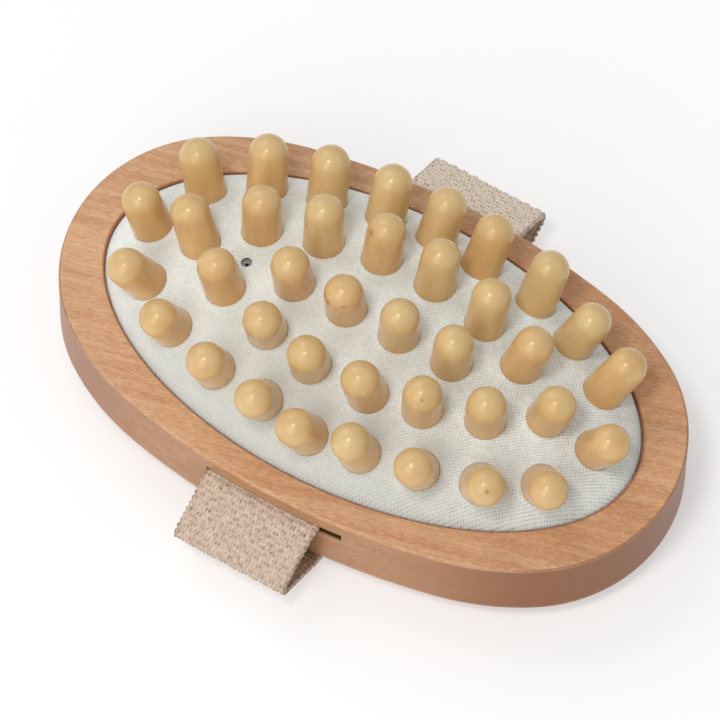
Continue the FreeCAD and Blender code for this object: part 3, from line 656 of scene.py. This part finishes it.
def rubber_material():
    s = Surface("cushion_rubber")
    cloudy = s.noise(s.stretched((0.6, 0.6, 0.6)), detail=3)
    tone = s.mix(cloudy, colour(170, 170, 165), colour(150, 150, 145))
    grain = s.noise(s.stretched((9, 9, 9)), detail=2)
    return s.finish(Base_Color=tone, Roughness=s.range(grain, 0.3, 0.7, 0.5, 0.7),
                    Normal=s.bump(grain, 0.01 * MM, 0.5))


def webbing_material():
    """Undyed cotton: cream and beige yarns, each with its own twist, with painted shade down in the
    weave, painted highlights on its raised yarns and painted light on the far side.
    """
    s = Surface("strap_webbing")
    strand = s.noise(s.stretched((1.6, 0.5, 0.5)), detail=3, roughness=0.6)
    tone = s.mix(s.range(strand, 0.36, 0.64), colour(225, 204, 184), colour(204, 178, 154))
    stain = s.noise(s.stretched((0.12, 0.12, 0.12), (4, 4, 4)), detail=2)
    tone = s.mix(s.range(stain, 0.4, 0.65, 0.0, 0.35), tone, colour(214, 196, 182))
    # Painted light: the outer part of the far (+Y) side lighter.
    tone = s.mix(s.range(s.axes()[1], 36.0 * MM, 40.0 * MM, 0.0, 0.80), tone, colour(255, 240, 222))
    hollow = s.add("NewGeometry").outputs["Pointiness"]
    uneven = s.noise(s.stretched((0.9, 0.9, 0.9), (8, 1, 3)), detail=2)
    # Painted shade in the weave's hollows, found from the mesh's pointiness.
    hollow_shade = s.math("MULTIPLY", s.range(hollow, 0.40, 0.50, 1.0, 0.0),
                   s.range(uneven, 0.36, 0.62, 0.35, 1.0))
    tone = s.mix(hollow_shade, tone, colour(108, 80, 58))
    # Painted highlight on the raised yarns.
    tone = s.mix(s.range(hollow, 0.52, 0.60, 0.0, 0.65), tone, colour(250, 236, 222))
    slanted = s.turned(math.radians(28))
    fibre = s.noise(s.stretched((6.5, 1.6, 1.6), place=slanted), detail=3, roughness=0.7, distortion=0.8)
    tone = s.mix(s.range(fibre, 0.50, 0.66, 0.0, 0.60), tone, colour(150, 118, 92))
    tone = s.mix(s.range(fibre, 0.36, 0.46, 0.40, 0.0), tone, colour(248, 234, 220))
    return s.finish(Base_Color=tone, Roughness=s.range(fibre, 0.3, 0.7, 0.8, 0.95),
                    Normal=s.bump(fibre, 0.12 * MM, 0.8), Specular_IOR_Level=0.2, Sheen_Weight=0.2,
                    Sheen_Roughness=0.5)


def staple_steel_material():
    s = Surface("staple_steel")
    drawn = s.noise(s.stretched((6, 40, 6)), detail=2)
    tone = s.mix(drawn, colour(176, 178, 182), colour(146, 148, 154))
    return s.finish(Base_Color=tone, Metallic=1.0, Roughness=s.range(drawn, 0.3, 0.7, 0.25, 0.4),
                    Normal=s.bump(drawn, 0.005 * MM, 0.5))


def floor_material():
    s = Surface("studio_floor")
    soft = s.noise(s.stretched((0.02, 0.02, 0.02)), detail=2)
    tone = s.mix(soft, colour(206, 206, 206), colour(203, 203, 203))
    return s.finish(Base_Color=tone, Roughness=0.8, Specular_IOR_Level=0.1,
                    Emission_Color=colour(255, 255, 255), Emission_Strength=0.42)


def dress(obj, material):
    """Puts one material on every slot of an object."""
    if not obj.material_slots:
        obj.data.materials.append(material)
    for material_slot in obj.material_slots:
        material_slot.material = material


# ---------------------------------------------------------------- studio


def make_camera():
    """The photograph's view: long lens, from high over the near side and a little to the right."""
    azimuth = math.radians(29.01)
    elevation = math.radians(59.98)
    roll = math.radians(1.27)
    distance = 1.5
    target = Vector((-1.98, -1.14, 15.01)) * MM
    back = Vector((math.sin(azimuth) * math.cos(elevation), -math.cos(azimuth) * math.cos(elevation),
                   math.sin(elevation)))
    right = Vector((math.cos(azimuth), math.sin(azimuth), 0))
    up = back.cross(right)
    rolled_right = right * math.cos(roll) + up * math.sin(roll)
    rolled_up = back.cross(rolled_right)
    data = bpy.data.cameras.new("camera")
    data.sensor_width = 36.0
    data.lens = 386.14
    data.clip_start = 0.05
    data.clip_end = 20.0
    camera = bpy.data.objects.new("camera", data)
    camera.matrix_world = Matrix.Translation(target + back * distance) @ Matrix(
        (rolled_right, rolled_up, back)).transposed().to_4x4()
    bpy.context.scene.collection.objects.link(camera)
    bpy.context.scene.camera = camera
    return rolled_right, rolled_up, back


def softbox(name, direction, distance, size, power):
    data = bpy.data.lights.new(name, "AREA")
    data.shape = "DISK"
    data.size = size
    data.energy = power
    light = bpy.data.objects.new(name, data)
    light.location = direction.normalized() * distance
    light.rotation_euler = direction.to_track_quat("Z", "Y").to_euler()
    bpy.context.scene.collection.objects.link(light)


def make_studio():
    right, up, back = make_camera()
    softbox("key", back - right * 0.21 + up * 0.25, 1.3, 0.28, 4.1)
    softbox("far_side", back * 0.52 - right * 0.45 + up * 1.1, 1.2, 0.8, 2.4)
    softbox("fill", back * 0.77 - right * 0.4 - up * 0.2, 1.2, 0.9, 4.6)
    world = bpy.data.worlds.new("studio")
    world.use_nodes = True
    backdrop = world.node_tree.nodes["Background"]
    backdrop.inputs["Color"].default_value = (1.0, 1.0, 1.0, 1.0)
    backdrop.inputs["Strength"].default_value = 0.43
    bpy.context.scene.world = world
    bpy.context.scene.view_settings.view_transform = "Standard"
    half = 1.5
    floor = mesh_object("floor", [(-half, -half, 0), (half, -half, 0), (half, half, 0), (-half, half, 0)],
                        [(0, 1, 2, 3)])
    floor.location.z = cad_low.z - 0.02 * MM
    dress(floor, floor_material())


# ---------------------------------------------------------------- the brush


def make_pegs():
    """Dresses the pegs and returns each one's name, body, seat and axis."""
    lines = []
    for number, joint in enumerate(frame["joints"]):
        node, axis, seat = peg_line(joint)
        knots = [(axis * PEG_BALL_LEVEL + np.array(way) * PEG_RADIUS, radius * MM)
                 for peg, way, radius in PEG_KNOTS if peg == node.name]
        dress(node, peg_wood_material("peg_wood_%02d" % number, seat, axis, number, knots))
        lines.append((node.name, joint["child"], seat, axis))
    return lines


def sheet_holes(pegs, peg_radius, vent_radius):
    """A sheet's holes for the pegs and for the air vent, as (seat, axis, radius)."""
    vent_seat = np.array([VENT_X, 0, float(dome_height(VENT_X, 0))])
    vent_axis = dome_normal(vent_seat[None])[0]
    holes = [(seat, axis, peg_radius) for _, _, seat, axis in pegs]
    return holes + [(vent_seat, vent_axis, vent_radius)]


def make_facing(pegs, material):
    cloth = dome_sheet("cushion_facing", CLOTH_PITCH / CLOTH_SAMPLES,
                       sheet_holes(pegs, CLOTH_HOLE, VENT_CLOTH_RADIUS), cloth_relief)
    add_flange(cloth, FLANGE_LEVEL)
    dress(cloth, material)
    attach(cloth, "back")
    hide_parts("cushion_cloth")


def make_membrane(pegs):
    rubber = dome_sheet("cushion_membrane", RUBBER_SPACING,
                        sheet_holes(pegs, RUBBER_HOLE, VENT_RUBBER_RADIUS), inset=CLOTH_TO_RUBBER)
    add_flange(rubber, FLANGE_LEVEL - CLOTH_TO_RUBBER)
    thick = rubber.modifiers.new("thickness", "SOLIDIFY")
    thick.thickness = RUBBER_THICKNESS
    thick.offset = -1
    dress(rubber, rubber_material())
    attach(rubber, "back")
    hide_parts("cushion_rubber")


def make_collars(pegs, material):
    for name, body, seat, axis in pegs:
        collar = peg_collar(name.replace("peg", "collar"), seat, axis)
        dress(collar, material)
        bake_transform(collar)


def make_hand_strap():
    strap, length = make_strap()
    dress(strap, webbing_material())
    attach(strap, "back")
    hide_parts("hand_strap")


make_studio()
dress(frame["nodes"]["wood_body"], beech_back_material())
dress(frame["nodes"]["strap_staples"], staple_steel_material())
pegs = make_pegs()
cloth_material = cushion_cloth_material()
make_facing(pegs, cloth_material)
make_membrane(pegs)
make_collars(pegs, cloth_material)
make_hand_strap()
